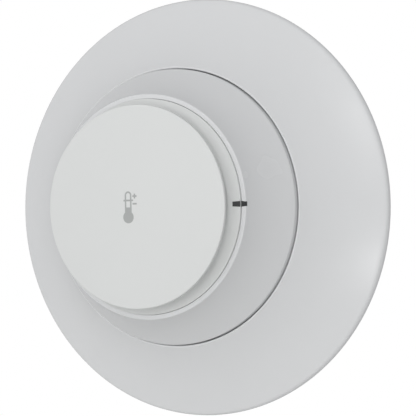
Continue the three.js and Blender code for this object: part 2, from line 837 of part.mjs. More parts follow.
// A sprung cradle that holds one end of the fuse.
function fuseClip(side) {
  const { width, wall, foot, inset } = FUSE_CLIP;
  const inner = FUSE.radius + SEAT_GAP / 2;
  const outer = inner + wall;
  const mouth = block(1.6 * inner, outer, -width, width, 0, outer / 2 + 0.4 * inner);
  const ring = cut(rod(outer, -width / 2, width / 2), rod(inner, -width, width), mouth);
  const cradle = ring.rotateX(Math.PI / 2).rotateZ(Math.PI / 2).translate(0, 0, fuseAxis);
  const stand = block(width, foot, powerParts, fuseAxis - inner - SEAT_GAP);
  return join(cradle, stand).translate(FUSE.x + side * (FUSE.length / 2 - inset), FUSE.y, 0);
}

// -------------------------------------------------------------------------------------- assembly

const pieces = {
  cover_frame: [coverFrame, finishes.shell],
  centre_plate: [centrePlate, finishes.shell],
  index_mark: [indexMark, finishes.mark],
  knob_cap: [knobCap, finishes.knob],
  knob_skirt: [knobSkirt, finishes.knob],
  pointer_mark: [pointerMark, finishes.mark],
  potentiometer_shaft: [potentiometerShaft, finishes.brass],
  potentiometer_case: [potentiometerCase, finishes.component],
  potentiometer_cover: [potentiometerCover, finishes.steel],
  support_ring: [supportRing, finishes.steel],
  housing_front: [housingFront, finishes.insert],
  housing_rear: [housingRear, finishes.base],
  control_board: [controlBoard, finishes.board],
  power_board: [powerBoard, finishes.board],
  link_header: [linkHeader, finishes.brass],
  thermistor: [thermistor, finishes.component],
  microcontroller: [microcontroller, finishes.component],
  relay: [() => boxedComponent(RELAY), finishes.relay],
  film_capacitor: [() => boxedComponent(FILM_CAPACITOR), finishes.film],
  electrolytic_capacitor: [electrolyticCapacitor, finishes.component],
  varistor: [varistor, finishes.varistor],
  fuse: [fuseTube, finishes.glass],
};

// Made facing out along z, then turned so that it faces -Y with the wall behind it at Y = 0.
const thermostat = new THREE.Group();
thermostat.name = "wall_thermostat";
thermostat.rotation.x = Math.PI / 2;

for (const [name, [shape, material]] of Object.entries(pieces)) {
  thermostat.add(piece(name, shape(), material));
}
[-1, 1].forEach((side, i) => {
  thermostat.add(piece("fuse_clip_" + (i + 1), fuseClip(side), finishes.steel));
  const coverScrew = screw(COVER_SCREW_LENGTH, coverScrewSeat, side * coverScrewX, 0);
  thermostat.add(piece("cover_screw_" + (i + 1), coverScrew, finishes.steel));
});
corners(housingScrewAt).forEach(([x, y], i) => {
  const housingScrew = screw(HOUSING_SCREW_LENGTH, housingScrewSeat, x, y);
  thermostat.add(piece("housing_screw_" + (i + 1), housingScrew, finishes.steel));
});
terminals().forEach((x, i) => {
  const length = terminalScrewTip - terminalScrewSeat;
  const terminalScrew = screw(length, terminalScrewSeat, x, clampY, -1);
  thermostat.add(piece("terminal_clamp_" + (i + 1), terminalClamp(x), finishes.brass));
  thermostat.add(piece("terminal_screw_" + (i + 1), terminalScrew, finishes.steel));
});

export default thermostat;
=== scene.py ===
"""Round wall thermostat: its visible pieces, finishes, studio and camera, built around the CAD frame."""

import json
import math

import bmesh
import bpy
from mathutils import Matrix, Vector


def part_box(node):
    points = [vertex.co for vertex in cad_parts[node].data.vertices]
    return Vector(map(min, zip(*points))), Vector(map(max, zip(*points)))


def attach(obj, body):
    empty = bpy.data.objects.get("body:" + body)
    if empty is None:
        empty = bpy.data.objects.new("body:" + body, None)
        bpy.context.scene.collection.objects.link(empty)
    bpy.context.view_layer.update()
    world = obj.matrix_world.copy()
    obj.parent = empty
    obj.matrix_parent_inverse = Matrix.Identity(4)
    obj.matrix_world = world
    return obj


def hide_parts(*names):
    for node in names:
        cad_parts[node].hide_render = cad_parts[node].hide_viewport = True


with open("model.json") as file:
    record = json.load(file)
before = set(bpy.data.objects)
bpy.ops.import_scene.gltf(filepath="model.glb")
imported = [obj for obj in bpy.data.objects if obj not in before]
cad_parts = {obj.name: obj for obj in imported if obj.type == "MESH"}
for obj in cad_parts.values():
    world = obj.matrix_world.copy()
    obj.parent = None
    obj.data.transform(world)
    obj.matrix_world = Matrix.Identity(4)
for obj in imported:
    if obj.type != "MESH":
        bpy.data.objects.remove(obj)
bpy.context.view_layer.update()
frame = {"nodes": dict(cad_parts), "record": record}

bl_info = {
    "name": "Round wall thermostat",
    "version": (1, 0, 0),
    "blender": (4, 5, 0),
    "location": "3D View > Sidebar > Thermostat",
    "description": "Builds the covers, the setting knob and the insert of a round wall thermostat",
    "category": "Object",
}

MM = 0.001
RIB_COUNT = 12
FLUTE_COUNT = 5
FINE_STEPS = 192  # steps of a full turn on the covers and the knob
MERGE_GAP = 0.0005 * MM  # vertices closer than this become one
NEAR = 0.01 * MM  # a vertex this close to a plane lies in it
SEAT_GAP = 0.3 * MM  # between fixed pieces that rest on each other
CRISP, SOFT, WIDE = 0.1 * MM, 0.15 * MM, 0.3 * MM  # roundings of edges that are hardly seen
NODES = frame["nodes"]
NUMBERS = range(1, 5)  # of the clamps, their screws and the housing's screws

# Heights are counted out of the wall, towards -Y. Radii are counted from the knob's axis.
FRAME_LOW, FRAME_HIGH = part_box("cover_frame")
PLATE_LOW, PLATE_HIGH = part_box("centre_plate")
CAP_LOW, CAP_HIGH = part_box("knob_cap")
FRAME_RADIUS = FRAME_HIGH[0]
FRAME_EDGE = -FRAME_LOW[1]
PLATE_RADIUS = PLATE_HIGH[0]
LIP_HEIGHT = -PLATE_LOW[1]
SHELF_TOP = -PLATE_HIGH[1] - SEAT_GAP
CAP_RADIUS = CAP_HIGH[0]
KNOB_TOP = -CAP_LOW[1]
SPIGOT_BOTTOM = -CAP_HIGH[1]
HUB_BOTTOM = -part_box("knob_skirt")[1][1]


def length(name, description, millimetres):
    return bpy.props.FloatProperty(
        name=name,
        description=description,
        default=millimetres * MM,
        min=0.0,
        unit="LENGTH",
        precision=5,
    )


def angle(name, description, degrees):
    return bpy.props.FloatProperty(
        name=name,
        description=description,
        default=math.radians(degrees),
        subtype="ANGLE",
    )


def number(name, description, default):
    return bpy.props.FloatProperty(name=name, description=description, default=default)


def colour(name, description, default):
    return bpy.props.FloatVectorProperty(
        name=name,
        description=description,
        default=default,
        size=4,
        min=0.0,
        max=1.0,
        subtype="COLOR",
    )


class CoverSizes(bpy.types.PropertyGroup):
    """Sizes of the cover frame and the centre plate"""

    wall: length("Wall", "Wall thickness of the mouldings", 1.6)
    plate_gap: length("Plate gap", "Gap between the frame and the centre plate", 0.19)
    edge_round: length("Edge round", "Rounding of the frame's and the plate's edges", 0.3)
    rim_round: length("Rim round", "Rounding of the frame's outer rim", 1.1)
    rim_land: length("Rim land", "Height of the rim below its rounding", 0.6)
    rim_back: length("Rim back", "Rounding of the rim at the wall", 0.5)
    rim_slope: angle("Rim slope", "Slope of the frame at its rim", 25)
    edge_slope: angle("Edge slope", "Slope of the frame at its opening", 43)
    plate_step: length("Plate step", "How far the plate stands proud of the frame", 0.5)
    plate_slope: angle("Plate slope", "Slope of the plate at its edge", 51)
    neck_slope: angle("Neck slope", "Slope of the plate below its lip", 73)
    neck_radius: length("Neck radius", "Outer radius of the lip", 22)
    lip_width: length("Lip width", "Width of the lip round the knob", 0.9)
    lip_round: length("Lip round", "Rounding of the lip's outer edge", 0.16)
    well_depth: length("Well depth", "From the lip down to the floor behind the knob", 5.7)
    shaft_hole: length("Shaft hole", "Radius of the hole in the well's floor", 8.5)
    screw_hole: length("Screw hole", "Radius of the two screw holes in the well's floor", 1.4)
    slot_pitch: length("Slot pitch", "From one air slot to the next", 3.6)
    slot_drop: length("Slot drop", "From the knob's axis down to the air slots", 15)
    slot_width: length("Slot width", "Width of an air slot", 1.8)
    slot_length: length("Slot length", "Length of an air slot", 4.4)
    slot_round: length("Slot round", "Rounding of an air slot's corners", 0.8)
    rib_thickness: length("Rib thickness", "Thickness of the ribs below the frame", 1.2)
    rib_foot: length("Rib foot", "From the wall to the ribs", 2.5)


class KnobSizes(bpy.types.PropertyGroup):
    """Sizes of the setting knob and its marks"""

    step: length("Step", "How far the skirt's edge stands proud of the lip", 0.4)
    cap_thickness: length("Cap thickness", "Thickness of the face cap at its edge", 0.7)
    cap_round: length("Cap round", "Rounding of the face's edge", 0.25)
    overhang: length("Overhang", "How far the face reaches past the knob's waist", 3.3)
    waist_slope: angle("Waist slope", "How steeply the cove leaves the waist", 86)
    edge_slope: angle("Edge slope", "How steeply the cove meets the skirt's edge", 13)
    wall: length("Wall", "Wall thickness of the knob", 1.3)
    hub: length("Hub", "Outer radius of the hub", 5.5)
    bore: length("Bore", "Radius of the hub's bore", 3.1)
    skirt_depth: length("Skirt depth", "Height of the skirt's outer wall", 4.9)
    spigot_inset: length("Spigot inset", "From the waist in to the cap's spigot", 1.6)
    groove: length("Groove", "Gap between the knob's skirt and the lip", 0.05)
    mark_width: length("Mark width", "Widest part of the setting marks", 1.1)
    mark_proud: length("Mark proud", "How far the marks stand proud", 0.03)
    mark_depth: length("Mark depth", "Thickness of the marks", 0.06)
    skirt_mark: length("Skirt mark", "Length of the mark on the skirt", 1.45)
    tilt: angle("Tilt", "How far the marks and the symbol are turned anticlockwise", 1.4)
    bulb_radius: length("Bulb radius", "Radius of the printed thermometer's bulb", 1.17)
    tube_width: length("Tube width", "Width of the printed thermometer's tube", 1.5)
    tube_height: length("Tube height", "From the middle of the bulb to the tube's end", 5.0)
    line: length("Line", "Width of the printed lines", 0.32)
    bar_left: length("Bar left", "How far the crossbar sticks out of the tube on the left", 0.3)
    bar_right: length("Bar right", "How far the crossbar sticks out of the tube on the right", 0.36)
    bar_rise: length("Bar rise", "From the middle of the bulb to the crossbar", 3.24)
    liquid_rise: length("Liquid rise", "From the middle of the bulb to the end of the liquid", 1.9)
    plus_rise: length("Plus rise", "From the middle of the bulb to the plus", 4.05)
    minus_rise: length("Minus rise", "From the middle of the bulb to the minus", 2.58)
    sign_arm: length("Sign arm", "Half the length of the plus and the minus", 0.465)
    sign_right: length("Sign right", "From the knob's axis right to the plus and the minus", 0.11)
    bulb_left: length("Bulb left", "From the knob's axis left to the bulb", 1.34)
    bulb_drop: length("Bulb drop", "From the knob's axis down to the bulb", 2.0)
    print_depth: length("Print depth", "How far the printed symbol stands proud", 0.02)


class InsertSizes(bpy.types.PropertyGroup):
    """Sizes of the ring and the rear case"""

    ring_hole: length("Ring hole", "Radius of the support ring's opening", 21)
    slot_circle: length("Slot circle", "Radius on which the ring's curved slots lie", 30)
    slot_width: length("Slot width", "Width of the curved slots", 3.8)
    slot_sweep: angle("Slot sweep", "Angle that each curved slot follows", 18)
    case_wall: length("Case wall", "Wall thickness of the rear case", 1.5)
    case_corner: length("Case corner", "Rounding of the rear case's corners", 9)
    case_edge: length("Case edge", "Rounding of the rear case's back edge", 1.2)
    wire_hole: length("Wire hole", "Radius of the holes for the wires", 1.5)
    wire_rise: length("Wire rise", "From a clamp's front to its wire hole's edge", 0.6)
    driver_hole: length("Driver hole", "Radius of the holes over the terminal screws", 2.3)
    funnel: length("Funnel", "Depth of the funnels round the case's holes", 0.6)
    ring_screw: length("Ring screw", "Radius of the ring's holes for the housing screws", 1.25)
    pillar: length("Pillar", "Radius of the case's screw pillars", 2.4)
    pillar_bore: length("Pillar bore", "Radius of the bores in the pillars", 1.2)
    bore_depth: length("Bore depth", "Depth of the bores in the pillars", 10)
    panel_width: length("Panel width", "Width of the back's shallow panel", 34)
    panel_height: length("Panel height", "Height of the back's shallow panel", 27)
    panel_rise: length("Panel rise", "From the knob's axis up to the panel's middle", 3.5)
    panel_round: length("Panel round", "Rounding of the panel's corners", 3)
    flute: length("Flute", "Depth of the case's side flutes and of its panel", 0.35)
    flute_radius: length("Flute radius", "Radius of the tool that cuts the flutes", 1.5)
    flute_pitch: length("Flute pitch", "From one flute to the next", 4.5)
    flute_end: length("Flute end", "From a flute's end to the case's edge", 4)
    soft_edge: length("Soft edge", "Rounding of the small pieces' edges", 0.12)


class Colours(bpy.types.PropertyGroup):
    """Colours of the visible pieces"""

    shell: colour("Shell", "Cover frame and centre plate", (0.775, 0.78, 0.787, 1))
    knob: colour("Knob", "Setting knob", (0.75, 0.76, 0.752, 1))
    mark: colour("Mark", "Setting marks", (0.03, 0.03, 0.032, 1))
    symbol: colour("Symbol", "Printed thermometer", (0.43, 0.44, 0.435, 1))


class Studio(bpy.types.PropertyGroup):
    """Light and camera"""

    ambient: number("Ambient", "Light from all sides", 0.44)
    key: number("Key", "Power of the large front light", 4.3)
    small: number("Small", "Power of the two small front lights", 1.5)
    floor_drop: length("Floor drop", "From the knob's axis down to the floor", 300)
    azimuth: angle("Azimuth", "Camera's angle round the object", 28.65)
    elevation: angle("Elevation", "Camera's angle above the horizon", -0.2)
    distance: number("Distance", "From the camera to the rim's centre, in frame radii", 7)
    right: number("Right", "How far the camera stands to the right, in frame radii", 0.063)
    down: number("Down", "How far the camera stands lower, in frame radii", 0.004)
    lens: number("Lens", "Focal length of the camera", 125.8)


# ----------------------------------------------------------------------------------- outline helpers


def sloped_curve(start, start_slope, end, end_slope, steps):
    """Points of a curve between two (radius, height) points, with its slope given at both ends."""
    (r0, h0), (r1, h1) = start, end
    reach = math.hypot(r1 - r0, h1 - h0) / 3
    side = 1 if r1 > r0 else -1
    a = (r0 + side * reach * math.cos(start_slope), h0 + reach * math.sin(start_slope))
    b = (r1 - side * reach * math.cos(end_slope), h1 - reach * math.sin(end_slope))
    points = []
    for i in range(steps + 1):
        t = i / steps
        weights = ((1 - t) ** 3, 3 * t * (1 - t) ** 2, 3 * t * t * (1 - t), t**3)
        points.append(tuple(sum(w * p[k] for w, p in zip(weights, (start, a, b, end))) for k in (0, 1)))
    return points


def shifted(points, distance):
    """The curve moved sideways; a curve that rises inward moves into the material behind it."""
    moved = []
    for i, (r, h) in enumerate(points):
        before = points[max(i - 1, 0)]
        after = points[min(i + 1, len(points) - 1)]
        dr, dh = after[0] - before[0], after[1] - before[1]
        size = math.hypot(dr, dh)
        moved.append((r - distance * dh / size, h + distance * dr / size))
    return moved


def rounded(corners, steps=6):
    """A closed outline from (radius, height) or (radius, height, rounding) corners."""
    outline = []
    count = len(corners)
    for i, corner in enumerate(corners):
        here = Vector(corner[:2])
        rounding = corner[2] if len(corner) > 2 else 0
        if not rounding:
            outline.append(tuple(here))
            continue
        back = (Vector(corners[i - 1][:2]) - here).normalized()
        ahead = (Vector(corners[(i + 1) % count][:2]) - here).normalized()
        half = back.angle(ahead) / 2
        middle = here + (back + ahead).normalized() * rounding / math.sin(half)
        first = here + back * rounding / math.tan(half) - middle
        last = here + ahead * rounding / math.tan(half) - middle
        sweep = first.angle(last)
        for k in range(steps + 1):
            t = k / steps
            mixed = (first * math.sin((1 - t) * sweep) + last * math.sin(t * sweep)) / math.sin(sweep)
            outline.append(tuple(middle + mixed))
    return outline


def height_at(points, radius):
    for (r0, h0), (r1, h1) in zip(points, points[1:]):
        if min(r0, r1) <= radius <= max(r0, r1) and r0 != r1:
            return h0 + (h1 - h0) * (radius - r0) / (r1 - r0)
    raise ValueError(f"the outline does not reach radius {radius}")


def radius_at(points, height):
    return height_at([(h, r) for r, h in points], height)


# --------------------------------------------------------------------------------- modelling helpers


def begin(name, add, **options):
    """Adds a primitive with nothing else selected, names it and opens it in edit mode."""
    bpy.ops.object.select_all(action="DESELECT")
    add(**options)
    obj = bpy.context.object
    obj.name = name
    obj.data.name = name
    bpy.ops.object.mode_set(mode="EDIT")
    bpy.ops.mesh.select_all(action="SELECT")
    return obj


def close(obj, smooth_angle=35):
    """Leaves edit mode and puts the piece's place in its mesh."""
    bpy.ops.object.mode_set(mode="OBJECT")
    bpy.ops.object.transform_apply(location=True, rotation=True, scale=True)
    bpy.ops.object.shade_smooth_by_angle(angle=math.radians(smooth_angle))
    return obj


def tidy_shell():
    bpy.ops.mesh.select_all(action="SELECT")
    bpy.ops.mesh.remove_doubles(threshold=MERGE_GAP)
    bpy.ops.mesh.normals_make_consistent(inside=False)


def turned(name, outline, steps=160):
    """A piece turned about the knob's axis from a closed outline of (radius, height) points."""
    r, h = outline[0]
    obj = begin(name, bpy.ops.mesh.primitive_plane_add, size=MM, location=(r, -h, 0))
    bpy.ops.mesh.merge(type="CENTER")
    for (r0, h0), (r1, h1) in zip(outline, outline[1:] + outline[:1]):
        bpy.ops.mesh.extrude_region_move(TRANSFORM_OT_translate={"value": (r1 - r0, h0 - h1, 0)})
    bpy.ops.mesh.select_all(action="SELECT")
    bpy.ops.mesh.remove_doubles(threshold=MERGE_GAP)
    bpy.ops.mesh.spin(steps=steps, angle=math.tau, center=(0, 0, 0), axis=(0, 1, 0))
    tidy_shell()
    return close(obj)


def strip(name, path, widths, depth):
    """A band along a path of (radius, height) points on the right-hand side, with its width along Z."""
    (r, h), width = path[0], widths[0]
    upright = (0, math.pi / 2, 0)
    obj = begin(name, bpy.ops.mesh.primitive_plane_add, size=width, location=(r, -h, 0), rotation=upright)
    pick(obj, lambda p: p.y > -h)
    bpy.ops.mesh.delete(type="VERT")
    bpy.ops.mesh.select_all(action="SELECT")
    bpy.ops.transform.translate(value=(0, width / 2, 0))
    for (r0, h0), (r1, h1), w0, w1 in zip(path, path[1:], widths, widths[1:]):
        bpy.ops.mesh.extrude_region_move(TRANSFORM_OT_translate={"value": (r1 - r0, h0 - h1, 0)})
        bpy.ops.transform.resize(value=(1, 1, w1 / w0), center_override=(r1, -h1, 0))
    tidy_shell()
    bpy.ops.object.mode_set(mode="OBJECT")
    solidify = obj.modifiers.new("thickness", "SOLIDIFY")
    solidify.thickness = depth
    solidify.offset = 0
    bpy.ops.object.modifier_apply(modifier="thickness")
    bpy.ops.object.mode_set(mode="EDIT")
    tidy_shell()
    return close(obj)


def pick(obj, test):
    """Selects the vertices whose place passes the test."""
    bpy.ops.mesh.select_mode(type="VERT")
    mesh = bmesh.from_edit_mesh(obj.data)
    for vert in mesh.verts:
        vert.select = test(obj.matrix_world @ vert.co)
    mesh.select_flush_mode()
    bmesh.update_edit_mesh(obj.data)


def close_up(obj):
    """Merges a piece's doubles and smooths its faces again after a cut or a join."""
    bpy.ops.object.select_all(action="DESELECT")
    bpy.context.view_layer.objects.active = obj
    obj.select_set(True)
    bpy.ops.object.mode_set(mode="EDIT")
    tidy_shell()
    return close(obj)


def pick_edges(obj, test):
    """Selects the edges whose two ends pass the test."""
    bpy.ops.mesh.select_mode(type="EDGE")
    mesh = bmesh.from_edit_mesh(obj.data)
    for edge in mesh.edges:
        edge.select = test(*(vert.co for vert in edge.verts))
    mesh.select_flush_mode()
    bmesh.update_edit_mesh(obj.data)


def prism(name, points, depth):
    """A flat outline of points, drawn out along a depth vector."""
    obj = begin(name, bpy.ops.mesh.primitive_plane_add, size=MM, location=points[0])
    bpy.ops.mesh.merge(type="CENTER")
    for before, after in zip(points, points[1:]):
        bpy.ops.mesh.extrude_region_move(TRANSFORM_OT_translate={"value": Vector(after) - Vector(before)})
    bpy.ops.mesh.select_all(action="SELECT")
    bpy.ops.mesh.edge_face_add()
    bpy.ops.mesh.extrude_region_move(TRANSFORM_OT_translate={"value": depth})
    tidy_shell()
    return close(obj)


def plug(name, outline, bottom, top):
    """A prism along the knob's axis from an outline of (x, z) points, between two heights."""
    return prism(name, [(x, -bottom, z) for x, z in outline], (0, bottom - top, 0))


def peg(name, radius, end, start, far_radius=None):
    """A round bar, or a cone, between two points."""
    start, end = Vector(start), Vector(end)
    run = start - end
    turn = run.to_track_quat("Z", "Y").to_euler()
    obj = begin(
        name,
        bpy.ops.mesh.primitive_cone_add,
        vertices=48,
        radius1=radius,
        radius2=radius if far_radius is None else far_radius,
        depth=run.length,
        location=(start + end) / 2,
        rotation=turn,
    )
    return close(obj)


def joined(name, pieces):
    """The pieces as one object."""
    bpy.ops.object.select_all(action="DESELECT")
    for obj in pieces:
        obj.select_set(True)
    bpy.context.view_layer.objects.active = pieces[0]
    bpy.ops.object.join()
    pieces[0].name = pieces[0].data.name = name
    return pieces[0]


def placed_copy(obj, name, matrix):
    """A copy with its own mesh, moved by a matrix."""
    made = bpy.data.objects.new(name, obj.data.copy())
    made.data.transform(matrix)
    bpy.context.collection.objects.link(made)
    return made


def combine(obj, tool, operation):
    """Adds a tool's shape to a piece, or cuts it out of the piece, and removes the tool."""
    change = obj.modifiers.new("change", "BOOLEAN")
    change.operation = operation
    change.solver = "EXACT"
    change.object = tool
    bpy.context.view_layer.objects.active = obj
    bpy.ops.object.modifier_apply(modifier=change.name)
    bpy.data.objects.remove(tool)


def softened(node, name, width):
    """A copy of a solid of the frame with its sharp edges rounded."""
    bpy.ops.object.select_all(action="DESELECT")
    obj = placed_copy(NODES[node], name, Matrix.Identity(4))
    bpy.context.view_layer.objects.active = obj
    obj.select_set(True)
    bpy.ops.object.mode_set(mode="EDIT")
    bpy.ops.mesh.select_all(action="SELECT")
    bpy.ops.mesh.remove_doubles(threshold=4 * MERGE_GAP)
    bpy.ops.mesh.dissolve_limited(angle_limit=math.radians(0.5))
    bpy.ops.mesh.select_all(action="DESELECT")
    bpy.ops.mesh.select_mode(type="EDGE")
    bpy.ops.mesh.edges_select_sharp(sharpness=math.radians(30))
    bpy.ops.mesh.bevel(offset=width, segments=2, clamp_overlap=True)
    return close(obj)


def middle(node):
    """The middle of a node's box."""
    low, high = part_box(node)
    return (Vector(low) + Vector(high)) / 2


def finish_piece(obj, body, material, slot, *nodes):
    obj.data.materials.clear()
    obj.data.materials.append(material)
    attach(obj, body)
    if nodes:
        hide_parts(*nodes)
    return obj


# ----------------------------------------------------------------------------------------- materials


def node(nodes, kind, **values):
    """A node of this kind with some of its inputs set."""
    made = nodes.new("ShaderNode" + kind)
    for title, value in values.items():
        made.inputs[title.replace("_", " ")].default_value = value
    return made


def maths(nodes, operation, *values):
    """The output of a math node, whose inputs are other nodes' outputs or constants."""
    made = nodes.new("ShaderNodeMath")
    made.operation = operation
    for i, value in enumerate(values):
        if isinstance(value, bpy.types.NodeSocket):
            made.id_data.links.new(value, made.inputs[i])
        else:
            made.inputs[i].default_value = value
    return made.outputs[0]


def surface_group(name, inputs):
    """A node group with these inputs that gives a colour, a roughness and a height."""
    tree = bpy.data.node_groups.new(name, "ShaderNodeTree")
    outputs = {"Colour": "Color", "Roughness": "Float", "Height": "Float"}
    for way, sockets in (("INPUT", inputs), ("OUTPUT", outputs)):
        for title, kind in sockets.items():
            tree.interface.new_socket(name=title, in_out=way, socket_type="NodeSocket" + kind)
    return tree


def moulding_group():
    """Fine pitting and slow mottling of a moulded plastic surface."""
    found = bpy.data.node_groups.get("moulded_plastic")
    if found:
        return found
    inputs = {"Colour": "Color", "Roughness": "Float", "Mottle": "Float", "Grain Scale": "Float"}
    tree = surface_group("moulded_plastic", inputs)
    nodes, links = tree.nodes, tree.links
    given = nodes.new("NodeGroupInput")
    out = nodes.new("NodeGroupOutput")
    place = nodes.new("ShaderNodeTexCoord")
    slow = node(nodes, "TexNoise", Scale=60, Detail=3)
    fine = node(nodes, "TexNoise", Detail=2)
    links.new(place.outputs["Object"], slow.inputs["Vector"])
    links.new(place.outputs["Object"], fine.inputs["Vector"])
    links.new(given.outputs["Grain Scale"], fine.inputs["Scale"])
    swing = maths(nodes, "SUBTRACT", slow.outputs["Fac"], 0.5)
    amount = maths(nodes, "MULTIPLY_ADD", swing, given.outputs["Mottle"], 1.0)
    rough = maths(nodes, "MULTIPLY_ADD", swing, 0.12, given.outputs["Roughness"])
    shade = nodes.new("ShaderNodeVectorMath")
    shade.operation = "SCALE"
    links.new(given.outputs["Colour"], shade.inputs[0])
    links.new(amount, shade.inputs["Scale"])
    links.new(shade.outputs[0], out.inputs["Colour"])
    links.new(rough, out.inputs["Roughness"])
    links.new(fine.outputs["Fac"], out.inputs["Height"])
    return tree


def empty_material(name):
    """A new material with its nodes, its links and its shader."""
    made = bpy.data.materials.new(name)
    made.use_nodes = True
    return made, made.node_tree.nodes, made.node_tree.links, made.node_tree.nodes["Principled BSDF"]


def surfaced(name, tree, values, bump, depth):
    """A material whose shader is fed by a surface group with these values."""
    made, nodes, links, shader = empty_material(name)
    group = nodes.new("ShaderNodeGroup")
    group.node_tree = tree
    for title, value in values.items():
        group.inputs[title].default_value = value
    relief = node(nodes, "Bump", Strength=bump, Distance=depth)
    links.new(group.outputs["Height"], relief.inputs["Height"])
    links.new(group.outputs["Colour"], shader.inputs["Base Color"])
    links.new(group.outputs["Roughness"], shader.inputs["Roughness"])
    links.new(relief.outputs["Normal"], shader.inputs["Normal"])
    return made


def plastic(name, shade, roughness, mottle=0.03, grain=5000.0, bump=0.02):
    """A moulded plastic finish."""
    values = {"Colour": shade, "Roughness": roughness, "Mottle": mottle, "Grain Scale": grain}
    return bpy.data.materials.get(name) or surfaced(name, moulding_group(), values, bump, 0.1 * MM)


def metal_group():
    """Fine drawn lines and cloudy patches of a metal sheet."""
    found = bpy.data.node_groups.get("drawn_metal")
    if found:
        return found
    inputs = {"Colour": "Color", "Tarnish": "Color", "Roughness": "Float"}
    tree = surface_group("drawn_metal", inputs)
    nodes, links = tree.nodes, tree.links
    given = nodes.new("NodeGroupInput")
    out = nodes.new("NodeGroupOutput")
    place = nodes.new("ShaderNodeTexCoord")
    stretch = node(nodes, "Mapping", Scale=(60, 4000, 4000))
    lines = node(nodes, "TexNoise", Scale=1.0, Detail=3)
    clouds = node(nodes, "TexNoise", Scale=180, Detail=4)
    links.new(place.outputs["Object"], stretch.inputs["Vector"])
    links.new(stretch.outputs[0], lines.inputs["Vector"])
    links.new(place.outputs["Object"], clouds.inputs["Vector"])
    patches = nodes.new("ShaderNodeValToRGB")
    patches.color_ramp.elements[0].position = 0.45
    patches.color_ramp.elements[1].position = 0.75
    links.new(clouds.outputs["Fac"], patches.inputs["Fac"])
    tint = nodes.new("ShaderNodeMix")
    tint.data_type = "RGBA"
    links.new(patches.outputs["Color"], tint.inputs["Factor"])
    links.new(given.outputs["Colour"], tint.inputs["A"])
    links.new(given.outputs["Tarnish"], tint.inputs["B"])
    rough = maths(nodes, "MULTIPLY_ADD", lines.outputs["Fac"], 0.22, given.outputs["Roughness"])
    links.new(tint.outputs["Result"], out.inputs["Colour"])
    links.new(rough, out.inputs["Roughness"])
    links.new(lines.outputs["Fac"], out.inputs["Height"])
    return tree


def metal(name, shade, tarnish, roughness):
    """A rolled or drawn metal finish."""
    found = bpy.data.materials.get(name)
    if found:
        return found
    values = {"Colour": shade, "Tarnish": tarnish, "Roughness": roughness}
    made = surfaced(name, metal_group(), values, 0.08, 0.05 * MM)
    made.node_tree.nodes["Principled BSDF"].inputs["Metallic"].default_value = 1.0
    return made


def steel():
    return metal("zinc_plated_steel", (0.62, 0.64, 0.66, 1), (0.52, 0.55, 0.56, 1), 0.26)


def circuit_board():
    """Green lacquered board with copper tracks and round pads below the lacquer."""
    found = bpy.data.materials.get("green_board")
    if found:
        return found
    made, nodes, links, shader = empty_material("green_board")
    shader.inputs["Roughness"].default_value = 0.32
    shader.inputs["Coat Roughness"].default_value = 0.15
    shader.inputs["Coat Weight"].default_value = 0.4
    place = nodes.new("ShaderNodeTexCoord")
    lay = node(nodes, "Mapping", Rotation=(math.pi / 2, 0, 0))
    tracks = node(
        nodes,
        "TexBrick",
        Color1=(0.01, 0.11, 0.045, 1),
        Color2=(0.012, 0.13, 0.05, 1),
        Mortar=(0.05, 0.30, 0.12, 1),
        Scale=140,
        Mortar_Size=0.03,
    )
    pads = node(nodes, "TexVoronoi", Scale=260, Randomness=0.8)
    pad = maths(nodes, "LESS_THAN", pads.outputs["Distance"], 0.2)
    mix = nodes.new("ShaderNodeMix")
    mix.data_type = "RGBA"
    mix.inputs["B"].default_value = (0.55, 0.52, 0.45, 1)
    links.new(place.outputs["Object"], lay.inputs["Vector"])
    links.new(lay.outputs[0], tracks.inputs["Vector"])
    links.new(lay.outputs[0], pads.inputs["Vector"])
    links.new(pad, mix.inputs["Factor"])
    links.new(tracks.outputs["Color"], mix.inputs["A"])
    links.new(mix.outputs["Result"], shader.inputs["Base Color"])
    relief = node(nodes, "Bump", Strength=0.3, Distance=0.03 * MM)
    links.new(tracks.outputs["Fac"], relief.inputs["Height"])
    links.new(relief.outputs["Normal"], shader.inputs["Normal"])
    return made


def fuse_glass():
    """Clear glass with a faint cloudiness."""
    made = plastic("fuse_glass", (0.95, 0.97, 0.97, 1), 0.06, mottle=0.02, grain=900.0, bump=0.01)
    shader = made.node_tree.nodes["Principled BSDF"]
    shader.inputs["Transmission Weight"].default_value = 0.9
    shader.inputs["IOR"].default_value = 1.5
    return made


def moulded(slot):
    """The finish of a material slot."""
    colours = bpy.context.scene.thermostat_colours
    if slot == "steel":
        return steel()
    if slot == "brass":
        return metal("clamp_brass", (0.76, 0.58, 0.28, 1), (0.55, 0.38, 0.18, 1), 0.24)
    if slot == "board":
        return circuit_board()
    if slot == "glass":
        return fuse_glass()
    shades = {
        "shell": (colours.shell, 0.3),
        "knob": (colours.knob, 0.36),
        "mark": (colours.mark, 0.5),
        "insert": ((0.68, 0.69, 0.66, 1), 0.42),
        "base": ((0.045, 0.048, 0.054, 1), 0.5),
        "relay": ((0.02, 0.12, 0.40, 1), 0.3),
        "component": ((0.02, 0.021, 0.024, 1), 0.45),
        "film": ((0.72, 0.50, 0.04, 1), 0.35),
        "varistor": ((0.03, 0.13, 0.42, 1), 0.25),
    }
    shade, roughness = shades[slot]
    return plastic("inner_" + slot, shade, roughness, mottle=0.08, bump=0.08)


# ----------------------------------------------------------------------------------------- operators


def sizes():
    return bpy.context.scene.thermostat_covers, bpy.context.scene.thermostat_knob


def shell_material():
    return plastic("white_shell", bpy.context.scene.thermostat_colours.shell, 0.25)


